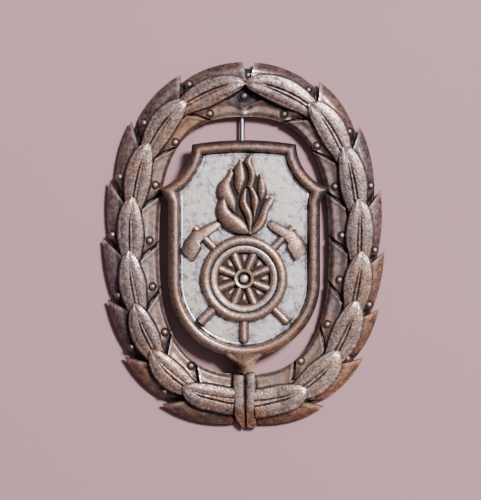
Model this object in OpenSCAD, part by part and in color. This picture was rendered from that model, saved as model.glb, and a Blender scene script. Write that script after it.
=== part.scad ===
// Oval service badge: a pierced laurel wreath that carries a shield with a flame, a wheel and
// crossed hammers, with a needle across its back. It lies on its back: +Y is the badge's top,
// +Z its face, and z = 0 the surface under the wreath's rim. Sizes are in millimetres.

/* [Overall] */
// Width over the leaf tips
badge_w = 41.2; // [38:0.2:50]
// Height from the stem ends to the top leaf tips
badge_h = 54; // [50:0.2:66]
// How much fuller than an ellipse the outer edge is on its diagonals
fullness = 0.05; // [0:0.005:0.06]
// How much fuller than an ellipse the opening is on its diagonals
opening_fullness = 0.09; // [0.05:0.005:0.1]

/* [Wreath] */
// Width of the wreath from the leaf tips to the opening
wreath_w = 8.2; // [6.8:0.1:9]
// Height of the flat inner border that carries the shield
border_z = 2.45; // [2.2:0.05:3.4]
// Thickness of the struck metal of the inner border
wall = 0.95; // [0.7:0.05:1.2]
// Width of the foot that the rim rests on
foot_w = 0.9; // [0.6:0.1:1.4]
// Width of a large leaf of the middle row
leaf_w = 3.9; // [3:0.1:4.6]
// Height of a large leaf's crest over its edges
leaf_crown = 0.75; // [0.4:0.05:1.2]
// Width of a leaf of the outer row
outer_leaf_w = 3.1; // [2.2:0.1:3.8]
// Width of a leaf of the inner row
inner_leaf_w = 2.3; // [1.6:0.1:2.8]
// Thickness of a leaf of the inner row
inner_leaf_t = 0.25; // [0.15:0.05:0.4]
// Radius of a berry
berry_r = 0.52; // [0.35:0.01:0.7]
// Radius of one of the two stems
stem_r = 0.66; // [0.5:0.02:0.8]

/* [Shield] */
// Gap between the shield's sides and the opening
side_gap = 1.32; // [0.9:0.02:2]
// Gap between the shield's top and the opening
top_gap = 3.45; // [2.6:0.05:4.5]
// Gap between the shield's round foot and the opening
bottom_gap = 2.45; // [1.8:0.05:3.2]
// How far the shield's side corners lap over the wreath
side_lap = 0.55; // [0.35:0.05:1]
// Gap between its top corners and the opening
top_side_gap = 1.8; // [1:0.05:2.4]
// How far its toe laps over the wreath
toe_lap = 0.25; // [0.15:0.05:0.6]
// Width of the moulding round the field
moulding_w = 1.75; // [1.3:0.05:2.1]
// Height of the moulding over the shield's back
moulding_h = 2; // [1.5:0.05:2.6]
// Thickness of the pale plate
plate_t = 0.7; // [0.5:0.05:1]
// Depth of the rebate that holds the plate's edge
rebate_w = 0.7; // [0.4:0.05:1]

/* [Emblem] */
// Outer radius of the wheel
wheel_r = 6.37; // [5.4:0.01:7.7]
// Width of the wheel's round outer ring
ring_w = 1.42; // [1.1:0.02:1.6]
// Width of the flat ring inside it
inner_ring_w = 1.23; // [0.9:0.01:1.3]
// Height of the emblem over the field
emblem_h = 1.25; // [1:0.05:1.6]
// Number of spokes
spokes = 8; // [6:1:10]
// Width of a spoke
spoke_w = 1.2; // [0.8:0.05:1.4]
// Outer radius of the hub
hub_r = 1.46; // [1.2:0.01:1.8]
// Width of the handles
handle_w = 1.35; // [1:0.05:1.6]
// Height of the flame
flame_h = 11.75; // [9.5:0.05:11.9]
// Width of the flame, over its hooked tongue
flame_w = 8.35; // [6.8:0.05:8.6]

/* [Pin] */
// Diameter of the needle
needle_d = 0.9; // [0.7:0.05:1.1]
// Size of the hinge block and of the catch along the badge
pin_block_l = 2.6; // [2:0.1:3]
// Width of the hinge block and of the catch
pin_block_w = 3.2; // [2.4:0.1:4]
// Distance of the needle from the badge's middle line
needle_x = -0.3; // [-1:0.1:1]

/* [Fit] */
// Gap between pieces that lie on each other or in each other
gap = 0.05; // [0.03:0.01:0.1]

/* [Hidden] */
eps = 0.01;

// Angles round the oval of each branch's leaf tips, from the stems (0) to the top (180)
leaf_tips = [31, 50, 69, 88, 108, 129, 152, 178];
first_leaf = 9;
leaf_lap = 3;
last_tip = 179;

// How far each border leaf and berry runs ahead of the large leaf's tip, in degrees
outer_lead = 3;
inner_lead = 2;
berry_lead = 4.5;

// Distances of the leaf rows and berries from the outer edge, inwards
leaf_row = wreath_w / 2;
outer_base = 3;
outer_tip = 0.28;
outer_berry = 1.35;
inner_row = wreath_w - inner_leaf_w / 2 - 0.35;
inner_berry = wreath_w - 1;
top_berry = leaf_row + 0.65;
rim_inset = 0.75;
shoulder_inset = 2.25;
hollow_inset = rim_inset + foot_w + 1.1;

// Levels over the resting surface
rim_z = 1.2;
shoulder_z = border_z + 0.1;
hollow_z = border_z - wall;
outer_berry_z = rim_z + 0.75;
shield_z = border_z + inner_leaf_t + gap;
field_z = shield_z + plate_t;
stem_z = border_z + 0.45;
stem_foot_z = 0.9;
pin_z = 0.15;

// Gap between the pin's blocks and the slope of the hollow back
pin_side_gap = 0.3;

// Leaves of each row: edge thickness, crown, level of the base, rise of the tip, roll outwards
large_leaf = [0.9, leaf_crown, border_z - 0.3, 3, 0];
outer_leaf = [0.5, 0.35, rim_z + 0.3, 1, 34];
inner_leaf = [inner_leaf_t - eps, eps, border_z, 0, 0];

// Crest of a leaf: where it starts, how long and how wide it is, as shares of the leaf
crest_start = 0.14;
crest_run = 0.72;
crest_w = 0.3;

// Stems: their distance from the middle line, how far over the end they bend, and their taper
stem_side = stem_r + 0.12;
stem_bend = 2.6;
stem_taper = 0.7;

// The opening's half width and half height, and its half width at a height in its upper half,
// for which the angle round the oval is found by halving the range that it lies in
opening = [badge_w / 2 - wreath_w, badge_h / 2 - wreath_w];
function opening_x(y, low = 90, high = 180, halvings = 20) =
    let (t = (low + high) / 2, at = spot(t, wreath_w))
        halvings == 0 ? at.x
            : at.y < y ? opening_x(y, t, high, halvings - 1) : opening_x(y, low, t, halvings - 1);

// Shield: the field's half width, its top, the centre of its round foot, and its toe
field_r = opening.x - side_gap - moulding_w;
field_top = opening.y - top_gap - moulding_w;
foot_y = field_r + moulding_w + bottom_gap - opening.y;
toe_y = -opening.y - toe_lap;
toe_w = 5;
toe_rise = 0.35;
toe_dip = 0.6;
toe_neck_w = 3.2;
toe_point = 0.75;
top_arc_r = 44;

// Outer corners of the shield, of which those at the sides lap over the wreath, the arc between
// them and the waist: the corners a distance down from the moulding's top, the waist from the field's
side_corner_drop = 7.05;
top_corner_drop = 0.64;
waist_drop = 7.3;
side_corner_y = field_top + moulding_w - side_corner_drop;
side_corner = [opening_x(side_corner_y) + side_lap, side_corner_y];
top_corner_y = field_top + moulding_w - top_corner_drop;
top_corner = [opening_x(top_corner_y) - top_side_gap, top_corner_y];
notch_edge_r = 7;
corner_run = norm(side_corner - top_corner);
notch = (side_corner + top_corner) / 2
    + sqrt(pow(notch_edge_r, 2) - pow(corner_run / 2, 2)) / corner_run
        * [top_corner.y - side_corner.y, side_corner.x - top_corner.x];
waist_y = field_top - waist_drop;
shoulder_flare = [1.6, 0.45];
shoulder = side_corner - moulding_w * shoulder_flare;

// Section of the moulding: how far it narrows from each side up to its ridge, as shares of it
steps = 5;
outer_slope = 0.62;
inner_slope = 0.22;

// Emblem: the flame hangs under the field's top edge, and the wheel under the flame
flame_top_gap = 0.2;
wheel_gap = 0.12;
flame_foot_y = field_top - flame_top_gap - flame_h;
wheel_y = flame_foot_y - wheel_gap - wheel_r;
ring_mid = wheel_r - ring_w / 2;
ring_round = 0.38 * ring_w;
groove_r = wheel_r - ring_w;
inner_ring_r = groove_r - inner_ring_w;
bevel = 0.25;
groove = 0.15;
floor_h = 0.25;
spoke_h = 0.62 * emblem_h;
handle_h = 0.6 * emblem_h;
handle_gap = 0.25;
handle_turns = [270, 227, 313];

// Hub: radii of its dome's shoulder and foot and of its hole, as shares of the hub's radius
dome_shoulder = 0.36;
dome_foot = 0.42;
hub_hole = 0.64;

// Left hammer: its eye, and the outline of its head round the eye from the poll's corner over
// the handle's end to the pick's tip and back, as [across, up]
hammer_side_gap = 0.18;
poll_reach = 2.3;
eye_rise = 7.14;
eye = [poll_reach + hammer_side_gap - field_r, wheel_y + eye_rise];
head = [
    [-poll_reach, -3.05], [-1.75, -1.6], [-0.55, -0.1], [-0.25, 0.5], [0.4, 0.7], [0.6, 0.2], [1, 0.35],
    [1.75, 0.85], [2.75, 1.3], [3.2, 1.1], [3.4, 0.65], [3.05, 0], [2, -0.7], [1.2, -1.3],
    [0.5, -2.15], [0.75, -2.65], [-0.5, -4.6]
];
head_middle = [-0.35, -1.6];
head_bevel = 0.82;
head_h = 0.7 * emblem_h;
head_top_h = 0.2 * emblem_h;

// Flame and its raised tongues, as shares of its width, round its middle, and of its height
flame_outline = [
    [0.06, 0], [-0.14, 0.02], [-0.32, 0.09], [-0.4, 0.16], [-0.475, 0.3], [-0.48, 0.37],
    [-0.44, 0.44], [-0.465, 0.54], [-0.44, 0.61], [-0.335, 0.69], [-0.26, 0.78], [-0.24, 0.835],
    [-0.22, 0.765], [-0.165, 0.735], [-0.12, 0.84], [-0.05, 0.925], [-0.01, 0.88], [0.14, 1],
    [0.135, 0.91], [0.2, 0.79], [0.23, 0.7], [0.28, 0.76], [0.38, 0.645], [0.41, 0.51],
    [0.37, 0.43], [0.52, 0.45], [0.475, 0.365], [0.4, 0.22], [0.34, 0.075], [0.12, 0]
];
tongues = [
    [[-0.42, 0.3], [-0.32, 0.45], [-0.32, 0.305], [-0.19, 0.22], [-0.06, 0.2], [0.04, 0.09],
     [-0.13, 0.04], [-0.3, 0.12]],
    [[-0.4, 0.6], [-0.25, 0.76], [-0.27, 0.62], [-0.23, 0.5], [-0.165, 0.4], [-0.18, 0.28],
     [-0.28, 0.34], [-0.38, 0.42]],
    [[-0.165, 0.62], [-0.1, 0.8], [-0.04, 0.87], [0.01, 0.73], [0, 0.61], [-0.1, 0.5]],
    [[0, 0.85], [0.12, 0.95], [0.18, 0.76], [0.175, 0.6], [0.225, 0.45], [0.18, 0.3],
     [0.11, 0.42], [0.055, 0.6], [0.07, 0.75]],
    [[0.035, 0.56], [-0.04, 0.44], [-0.01, 0.3], [0.05, 0.18], [0.105, 0.2], [0.1, 0.33],
     [0.07, 0.45]],
    [[0.465, 0.42], [0.34, 0.36], [0.25, 0.2], [0.14, 0.05], [0.31, 0.1], [0.38, 0.24]]
];
flame_level = 0.44 * emblem_h;

// Point of the oval at an angle from the stems, a distance in from the leaf tips. The oval is
// fuller than an ellipse on its diagonals, first by the outer edge's share and then by the opening's.
function full(t, inset) =
    let (in = inset / wreath_w)
        1 + (fullness * (1 - pow(in, 2)) + opening_fullness * pow(in, 4)) * pow(sin(2 * t), 2);
function spot(t, inset) =
    full(t, inset) * [(badge_w / 2 - inset) * sin(t), -(badge_h / 2 - inset) * cos(t)];
function heading(a, b) = atan2(b.y - a.y, b.x - a.x);

// Pointed leaf outline from the origin along +X, the overlap of two circles
module leaf_outline(length, width) {
    arc_r = (pow(length, 2) + pow(width, 2)) / (4 * width);
    translate([length / 2, 0])
        intersection_for (side = [-1, 1])
            translate([0, side * (arc_r - width / 2)]) circle(arc_r, $fn = 24);
}

// Leaf from one spot of the oval to another, rolled outwards and with its tip raised
module leaf(from, to, width, form) {
    thick = form[0];
    crown = form[1];
    level = form[2];
    rise = form[3];
    roll = form[4];
    run = norm(to - from);
    translate([from.x, from.y, level])
        rotate([0, 0, heading(from, to)])
            rotate([0, -rise, 0])
                rotate([roll, 0, 0])
                    hull() {
                        linear_extrude(thick) leaf_outline(run, width);
                        translate([run * crest_start, 0, thick])
                            linear_extrude(crown) leaf_outline(run * crest_run, width * crest_w);
                    }
}

module berry(at, z) {
    translate([at.x, at.y, z]) sphere(berry_r, $fn = 8);
}

// One branch: for each leaf tip a large leaf, a leaf of either border and two berries
module branch() {
    for (i = [0 : len(leaf_tips) - 1]) {
        tip = leaf_tips[i];
        base = i == 0 ? first_leaf : leaf_tips[i - 1] - leaf_lap;
        leaf(spot(base, leaf_row), spot(tip, leaf_row), leaf_w, large_leaf);
        leaf(spot(base, outer_base), spot(min(tip + outer_lead, last_tip), outer_tip),
             outer_leaf_w, outer_leaf);
        leaf(spot(base + inner_lead, inner_row), spot(tip + inner_lead, inner_row),
             inner_leaf_w, inner_leaf);
        if (i < len(leaf_tips) - 1) {
            berry(spot(tip + berry_lead, inner_berry), border_z + inner_leaf_t);
            berry(spot(tip + berry_lead, outer_berry), outer_berry_z);
        }
    }
}

// Stem from the shield's toe over the leaf bases down to the rim
module stem() {
    bend_y = stem_bend - badge_h / 2;
    foot_r = stem_r * stem_taper;
    hull() {
        translate([stem_side, toe_y - 2 * gap - stem_r, stem_z]) sphere(stem_r, $fn = 16);
        translate([stem_side, bend_y, stem_z]) sphere(stem_r, $fn = 16);
    }
    hull() {
        translate([stem_side, bend_y, stem_z]) sphere(stem_r, $fn = 16);
        translate([stem_side * stem_taper, foot_r - badge_h / 2, stem_foot_z])
            sphere(foot_r, $fn = 16);
    }
}

// The wreath's body: a domed band with a hollow back that stands on a narrow foot
module wreath_band() {
    profile = [
        [rim_inset, 0], [rim_inset, rim_z], [shoulder_inset, shoulder_z], [wreath_w, border_z],
        [wreath_w, hollow_z], [hollow_inset, hollow_z], [rim_inset + foot_w, 0]
    ];
    rows = 72;
    n = len(profile);
    points = [
        for (i = [0 : rows - 1]) for (p = profile)
            let (at = spot(i * 360 / rows, p.x)) [at.x, at.y, p.y]
    ];
    faces = [
        for (i = [0 : rows - 1]) for (k = [0 : n - 1])
            let (a = i * n, b = (i + 1) % rows * n, m = (k + 1) % n)
                each [[a + k, a + m, b + m], [a + k, b + m, b + k]]
    ];
    polyhedron(points, faces);
}

module wreath() {
    color("rosybrown") {
        wreath_band();
        for (side = [0, 1]) mirror([side, 0, 0]) {
            branch();
            stem();
        }
        berry(spot(180, top_berry), border_z + inner_leaf_t);
        berry(spot(180, outer_berry), outer_berry_z);
    }
}

// Shield outline, a distance out from the edge of the pale field
module shield_outline(out) {
    top_y = field_top + 2 * moulding_w;
    corner = shoulder + out * shoulder_flare;
    intersection() {
        translate([0, field_top - top_arc_r]) circle(top_arc_r + out, $fn = 240);
        difference() {
            union() {
                translate([0, foot_y]) circle(field_r + out, $fn = 96);
                for (side = [0, 1]) mirror([side, 0])
                    polygon([
                        [-eps, foot_y], [field_r + out, foot_y], [field_r + out, waist_y],
                        corner, [corner.x, top_y], [-eps, top_y]
                    ]);
            }
            for (side = [-1, 1])
                translate([side * notch.x, notch.y])
                    circle(notch_edge_r + moulding_w - out, $fn = 96);
        }
    }
}

// Toe under the round foot: a neck as wide as the two stems, with a blunt point on them
module toe(out) {
    foot_edge = foot_y - field_r - out;
    in = moulding_w - out;
    side = toe_neck_w / 2 - in;
    polygon([
        [-toe_w / 2, foot_edge + toe_rise], [-side, foot_edge - toe_dip],
        [-side, toe_y + toe_point + in], [0, toe_y + in], [side, toe_y + toe_point + in],
        [side, foot_edge - toe_dip], [toe_w / 2, foot_edge + toe_rise]
    ]);
}

// The moulding is a rounded section built up in thin layers over the rebate for the plate
module shield_frame() {
    back_h = plate_t + gap;
    layer_h = (moulding_h - back_h) / steps;
    color("sienna") translate([0, 0, shield_z]) {
        linear_extrude(back_h)
            difference() {
                union() {
                    shield_outline(moulding_w);
                    toe(moulding_w);
                }
                shield_outline(rebate_w);
            }
        for (i = [0 : steps - 1]) {
            narrowing = 1 - sqrt(1 - pow((i + 0.5) / steps, 2));
            outside = moulding_w * (1 - outer_slope * narrowing);
            translate([0, 0, back_h + i * layer_h])
                linear_extrude(layer_h)
                    difference() {
                        union() {
                            shield_outline(outside);
                            if (i < steps - 1) toe(outside);
                        }
                        shield_outline(moulding_w * inner_slope * narrowing);
                    }
        }
    }
}

// Pale plate set into the moulding from behind
module field_plate() {
    color("gainsboro") translate([0, 0, shield_z])
        linear_extrude(plate_t) shield_outline(rebate_w - gap);
}

// Rounded bar on the field, from one distance to another along +X
module bar(from, to, width, height) {
    arc_r = (pow(width / 2, 2) + pow(height, 2)) / (2 * height);
    translate([from, 0, 0])
        intersection() {
            translate([0, 0, height - arc_r])
                rotate([0, 90, 0]) cylinder(to - from, arc_r, arc_r, $fn = 48);
            translate([0, -width / 2, 0]) cube([to - from, width, height]);
        }
}

// Rounded outer ring of the wheel, on a straight foot
module outer_ring() {
    arc_r = (pow(ring_w / 2, 2) + pow(ring_round, 2)) / (2 * ring_round);
    intersection() {
        translate([ring_mid, emblem_h - arc_r]) circle(arc_r, $fn = 48);
        translate([groove_r, emblem_h - ring_round]) square([ring_w, ring_round]);
    }
    translate([groove_r, 0]) square([ring_w, emblem_h - ring_round]);
}

// Flat inner ring with a bevel, and the groove between it and the outer ring
module inner_ring() {
    polygon([
        [inner_ring_r, 0], [inner_ring_r, emblem_h - 2 * bevel],
        [inner_ring_r + bevel, emblem_h - bevel], [groove_r - groove, emblem_h - bevel],
        [groove_r - groove, emblem_h - 2 * bevel], [groove_r + eps, emblem_h - 2 * bevel],
        [groove_r + eps, 0]
    ]);
}

// Hub with a round dome in its hole
module hub() {
    polygon([
        [0, 0], [0, emblem_h - 2 * bevel], [hub_r * dome_shoulder, spoke_h - bevel / 2],
        [hub_r * dome_foot, floor_h], [hub_r * hub_hole, floor_h],
        [hub_r * hub_hole, emblem_h - bevel],
        [hub_r - bevel, emblem_h - bevel], [hub_r, emblem_h - 2 * bevel], [hub_r, 0]
    ]);
}

// How far a handle can reach from the wheel's centre, to the field's round foot or its side
function foot_reach(turn) =
    let (rise = wheel_y - foot_y, along = rise * sin(turn))
        sqrt(pow(along, 2) - pow(rise, 2) + pow(field_r, 2)) - along;
function side_reach(turn) =
    (field_r - handle_w / 2 * abs(sin(turn))) / max(abs(cos(turn)), eps);
function handle_reach(turn) = min(foot_reach(turn), side_reach(turn)) - handle_gap;

module wheel() {
    eye_run = norm(eye - [0, wheel_y]);
    eye_turn = atan2(eye.y - wheel_y, eye.x);
    for (ring = [0 : 2])
        rotate_extrude($fn = 96) {
            if (ring == 0) outer_ring();
            if (ring == 1) inner_ring();
            if (ring == 2) hub();
        }
    for (i = [0 : spokes - 1])
        rotate((i + 0.5) * 360 / spokes) bar(hub_r - bevel, inner_ring_r + bevel, spoke_w, spoke_h);
    for (turn = handle_turns)
        rotate(turn) bar(ring_mid, handle_reach(turn), handle_w, handle_h);
    for (turn = [eye_turn, 180 - eye_turn])
        rotate(turn) bar(ring_mid, eye_run, handle_w, handle_h);
}

// Left hammer head, with a smaller layer on it for its bevelled edge
module hammer_head() {
    translate(eye) {
        linear_extrude(head_h) polygon(head);
        translate([head_middle.x, head_middle.y, head_h])
            linear_extrude(head_top_h)
                polygon([for (p = head) head_bevel * (p - head_middle)]);
    }
}

module wheel_and_hammers() {
    color("peru") translate([0, 0, field_z]) {
        translate([0, wheel_y]) wheel();
        for (side = [0, 1]) mirror([side, 0, 0]) hammer_head();
    }
}

module flame() {
    function sized(shape) = [for (p = shape) [p.x * flame_w, p.y * flame_h]];
    color("saddlebrown") translate([0, flame_foot_y, field_z]) {
        linear_extrude(flame_level) polygon(sized(flame_outline));
        for (tongue = tongues)
            translate([0, 0, flame_level])
                linear_extrude(emblem_h - flame_level) polygon(sized(tongue));
    }
}

// Hinge block and catch behind the wreath with the needle between them
module pin_clasp() {
    block_y = badge_h / 2 - hollow_inset - pin_side_gap - pin_block_l / 2;
    block_h = hollow_z - pin_z;
    color("silver") {
        for (end = [-1, 1])
            translate([needle_x - pin_block_w / 2, end * block_y - pin_block_l / 2, pin_z])
                cube([pin_block_w, pin_block_l, block_h]);
        translate([needle_x, block_y, pin_z + block_h / 2])
            rotate([90, 0, 0]) cylinder(2 * block_y, needle_d / 2, needle_d / 2, $fn = 32);
    }
}

wreath();
shield_frame();
field_plate();
wheel_and_hammers();
flame();
pin_clasp();
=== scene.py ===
# %% [markdown]
# A firefighter's badge of patinated bronze
#
# The real badge is struck from sheet metal: a die presses a laurel wreath, a shield and a small
# emblem into the blank, the metal is blackened all over, and then the high places are rubbed
# bright again. So this scene needs two things. The relief has to be real geometry, because every
# highlight follows it, and each point has to know whether it lies high, and is rubbed, or low, and
# stays dark. All shapes are worked out in millimetres and written to the meshes in metres.

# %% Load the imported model
import math

import bmesh
import bpy
import numpy as np
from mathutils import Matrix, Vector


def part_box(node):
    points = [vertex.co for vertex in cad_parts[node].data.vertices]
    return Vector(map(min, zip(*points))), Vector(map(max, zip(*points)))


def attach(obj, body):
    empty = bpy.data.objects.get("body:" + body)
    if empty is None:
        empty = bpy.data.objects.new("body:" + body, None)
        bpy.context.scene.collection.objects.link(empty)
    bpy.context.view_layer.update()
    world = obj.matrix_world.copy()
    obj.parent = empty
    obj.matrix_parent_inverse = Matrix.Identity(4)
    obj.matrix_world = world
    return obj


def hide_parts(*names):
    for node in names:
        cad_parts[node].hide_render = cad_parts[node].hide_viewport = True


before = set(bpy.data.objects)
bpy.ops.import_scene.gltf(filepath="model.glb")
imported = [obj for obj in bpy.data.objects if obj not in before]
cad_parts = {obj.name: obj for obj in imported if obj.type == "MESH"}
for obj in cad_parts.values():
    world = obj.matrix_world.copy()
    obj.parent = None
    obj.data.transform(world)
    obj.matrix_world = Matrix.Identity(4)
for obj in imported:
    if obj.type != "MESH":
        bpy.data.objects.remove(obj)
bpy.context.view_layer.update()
MM = 0.001


def level(node, corner, axis):
    """One coordinate of a CAD node's box, in millimetres."""
    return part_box(node)[corner][axis] / MM


# %% [markdown]
# Shells
#
# Every piece is made of closed shells. A shell is a stack of closed rings of points, as a pot is
# coiled from clay: rings round a stem, cross sections along a leaf, or outlines stepping up a
# moulding. One helper joins neighbouring rings with faces, so each shape below only has to say
# where its points are. The number kept with each point is its rub: 1 for a place that is rubbed
# bright, -1 for a hollow that keeps its dark patina. In a few places, said where they are set, the
# same number also holds painted highlight and painted shade. Two more go with a shell: how coarse
# its specks are, and its hue, which is above 0 where the metal looks copper and below where it
# looks blue; in places that hue is a painted reflection.

# %% Shells from rings
USUAL_GRIT, USUAL_HUE = 1.0, 0.0


def shell(rings, rub_and_painted_light, closed=False):
    """Points, rub, quads, caps, grit and hue of a skin over rings, an array of ring by point by xyz.

    Neighbouring rings are joined by quads. A closed shell joins its last ring to its first, and an
    open one has a flat cap on each end ring."""
    count, size = rings.shape[:2]
    first = np.arange(count if closed else count - 1)[:, None]
    point = np.arange(size)[None, :]
    after, beside = (first + 1) % count, (point + 1) % size
    corners = [first * size + point, first * size + beside, after * size + beside,
               after * size + point]
    quads = np.stack(corners, -1).reshape(-1, 4)
    caps = [] if closed else [np.arange(size)[::-1], np.arange(size) + (count - 1) * size]
    spread = np.broadcast_to(rub_and_painted_light, (count, size)).reshape(-1)
    return rings.reshape(-1, 3), spread, quads, caps, USUAL_GRIT, USUAL_HUE


def finished(shells, grit, hue):
    """The same shells with another grit and hue."""
    return [(*s[:4], grit, hue) for s in shells]


def stack(*coordinates):
    """Joins x, y and z, which may be numbers or arrays of one grid, into an array of points."""
    return np.stack(np.broadcast_arrays(*coordinates), -1).astype(float)


def smooth(x, low, high):
    """Rises from 0 at low to 1 at high with level ends: three squares of the way less two cubes."""
    s = np.clip((x - low) / (high - low), 0, 1)
    return s * s * (3 - 2 * s)


def bump(x, width):
    """A bell curve, e to the power of minus (x over width) squared: 1 where x is 0, and almost 0
    beyond two widths."""
    return np.exp(-((x / width) ** 2))


def bent(x, power):
    """x to a power, with its sign kept."""
    return np.sign(x) * np.abs(x) ** power


def full_turn(count):
    """Angles at even steps once round, in radians."""
    return np.linspace(0, 2 * np.pi, count, endpoint=False)


print("smooth at quarter steps", [round(float(smooth(x, 0, 1)), 2) for x in (0, 0.25, 0.5, 0.75, 1)])

# %% [markdown]
# From shells to a piece
#
# A struck piece is one lump of metal, so its shells are joined in one mesh. Rub, hue and grit go
# into point attributes that the materials read later. A worn badge isn't stained evenly, so a short
# list of stains is added to them first: a texture painted by hand would do the same, but a list can
# be read and changed. Blender's own tool turns the faces outwards, and edges sharper than a crease
# angle stay crisp.
# Some entries of the stain list are painted light, not patina: a painted highlight and painted shade on the
# toe's two facets, painted shade with a bluish painted reflection on the right inner border, copper painted
# reflections on the upper left inner border and at the lower right, and a bluish painted reflection on the
# left.

# %% Pieces from shells
CREASE = 38
# From the end of the lowest handle up to the wheel's centre
LOW_HANDLE = 9.51
WHEEL_Y = level("wheel_and_hammers", 0, 1) + LOW_HANDLE
# Stains of the patina and marks of painted light, in millimetres: x, y, how far each reaches, what
# it adds to the hue, and how much more or less it is rubbed there. The painted light: (1.2, -17.7)
# is a painted highlight on the toe's right facet and (-1.2, -17.7) painted shade on its left one,
# the three at x 13.4 to 13.6 are painted shade with a bluish painted reflection on the right inner
# border, (-9.5, 15.5) and (-6.5, 18.4) a copper painted reflection on the upper left inner border,
# (13.4, -20.5) a copper painted reflection at the lower right and (-19.7, -3) a bluish painted
# reflection on the left. The others are stains. HUE and RUB_AND_PAINTED_LIGHT are the columns of
# the last two.
HUE, RUB_AND_PAINTED_LIGHT = 3, 4
STAINS_AND_PAINTED_LIGHT = [
    (13.4, -20.5, 6.5, 0.2, 0.6), (18.5, -5.8, 5, 0.35, 0.2), (-19.7, -3, 7, -0.7, 0.1),
    (-14.5, -20.5, 5, 0.3, 0), (0.3, -25.2, 2.4, 1.3, 0.1), (1.2, -17.7, 0.8, 1.3, 2.6),
    (-1.2, -17.7, 0.9, 0.4, -1.8), (0.1, 19.2, 3, 0.6, 0.2), (0, 26, 6.5, -0.3, -0.6),
    (0, 21.9, 1.6, -0.7, -0.2), (13.6, 8, 3.2, -0.5, -0.3), (13.6, 0, 3.2, -0.5, -0.3),
    (13.4, -7, 3.2, -0.5, -0.3), (-9.5, 15.5, 3, 0.8, 0.3), (-13, 20, 5, -0.4, -0.3),
    (17, 14, 6, -0.35, -0.2), (4.2, 20.4, 3.6, -0.2, -0.8), (-6.5, -22.7, 4.5, 0, -0.5),
    (-14, -15.4, 4, 0, -0.4), (-6.5, 18.4, 3.2, 0.8, 0.3), (0.6, 25, 1.7, -0.4, 0.7),
    (0.2, -20.5, 2.2, -0.2, -0.3), (-16, -11, 4, 0, -0.5), (0, WHEEL_Y, 0.75, -1.4, 0.3)
]


def stain_and_light_sum(points, effect):
    """The sum of a bell curve round each stain and each mark of painted light, as high as its HUE or its
    RUB_AND_PAINTED_LIGHT.
    """
    total = 0
    for row in STAINS_AND_PAINTED_LIGHT:
        x, y, reach = row[:3]
        away = (points[:, 0] - x) ** 2 + (points[:, 1] - y) ** 2
        total = total + row[effect] * np.exp(-away / reach ** 2)
    return total


def piece(name, shells, node, crease=CREASE):
    """Joins shells into one mesh that stands for a CAD node and rides on the badge."""
    offsets = np.cumsum([0] + [len(s[0]) for s in shells])
    points = np.concatenate([s[0] for s in shells])
    faces = np.concatenate([s[2] + o for s, o in zip(shells, offsets)]).tolist()
    faces += [(cap + o).tolist() for s, o in zip(shells, offsets) for cap in s[3]]
    mesh = bpy.data.meshes.new(name)
    mesh.from_pydata((points * MM).tolist(), [], faces)
    sizes = [len(s[0]) for s in shells]
    hues = [np.broadcast_to(s[5], size) for s, size in zip(shells, sizes)]
    traits = {
        "rub_and_painted_light": np.concatenate([s[1] for s in shells]) + stain_and_light_sum(points, RUB_AND_PAINTED_LIGHT),
        "hue": np.concatenate(hues) + stain_and_light_sum(points, HUE),
        "grit": np.repeat([s[4] for s in shells], sizes)
    }
    for trait, values in traits.items():
        data = mesh.attributes.new(trait, "FLOAT", "POINT").data
        data.foreach_set("value", values.astype(np.float32))
    work = bmesh.new()
    work.from_mesh(mesh)
    bmesh.ops.recalc_face_normals(work, faces=work.faces)
    work.to_mesh(mesh)
    work.free()
    mesh.shade_smooth()
    mesh.set_sharp_from_angle(angle=math.radians(crease))
    made = bpy.data.objects.new(name, mesh)
    bpy.context.scene.collection.objects.link(made)
    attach(made, "root")
    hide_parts(node)
    print(name, len(shells), "shells,", len(mesh.polygons), "faces")
    return made


print(len(STAINS_AND_PAINTED_LIGHT), "stains")

# %% [markdown]
# The oval
#
# Everything on the wreath is placed by two numbers: the angle round the oval, from the stems at
# the bottom (0) to the top (180), and the inset, how far in from the leaf tips it lies. The left
# and right branch are mirror images, except that the hand that cut the die set the tips of one
# branch a degree or two off the other's.

# %% Places on the oval
HALF_W = round(level("wreath", 1, 0), 1)
HALF_H = round(-level("wreath", 0, 1), 1)
# How wide the wreath is, and how much its outer edge and its opening bulge past an ellipse
WREATH_W = 8.2
FULLNESS = 0.05
OPENING_FULLNESS = 0.09
LEFT, RIGHT = -1, 1


def oval(t, inset):
    """x and y at an angle and an inset: an ellipse whose half axes are the badge's less the inset,
    swollen on its diagonals, first by the outer edge's fullness and then by the opening's."""
    turn = np.radians(t)
    share = inset / WREATH_W
    swell = 1 + (FULLNESS * (1 - share ** 2) + OPENING_FULLNESS * share ** 4) * np.sin(2 * turn) ** 2
    return swell * (HALF_W - inset) * np.sin(turn), -swell * (HALF_H - inset) * np.cos(turn)


# The angle of the top, where the branches meet, and those of the leaves' tips
TOP_T = 180
LARGE_TIPS = {LEFT: [31, 51, 69, 88, 107.5, 128, 151, 180.6],
              RIGHT: [31, 51, 70.5, 88, 106.5, 126, 148, 179.6]}
OUTER_TIPS = {LEFT: [34, 54.5, 73, 92, 110, 130, 154, 179.4],
              RIGHT: [33, 54, 70, 88, 107, 128, 149, 175.6]}
INNER_TIPS = {LEFT: [31, 51, 70, 90, 112, 134, 157.5, TOP_T],
              RIGHT: [33, 54, 73, 92.5, 112.5, 132, 154, TOP_T]}
print("badge", 2 * HALF_W, "by", 2 * HALF_H, "mm,", sum(map(len, LARGE_TIPS.values())), "large leaves")

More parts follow.
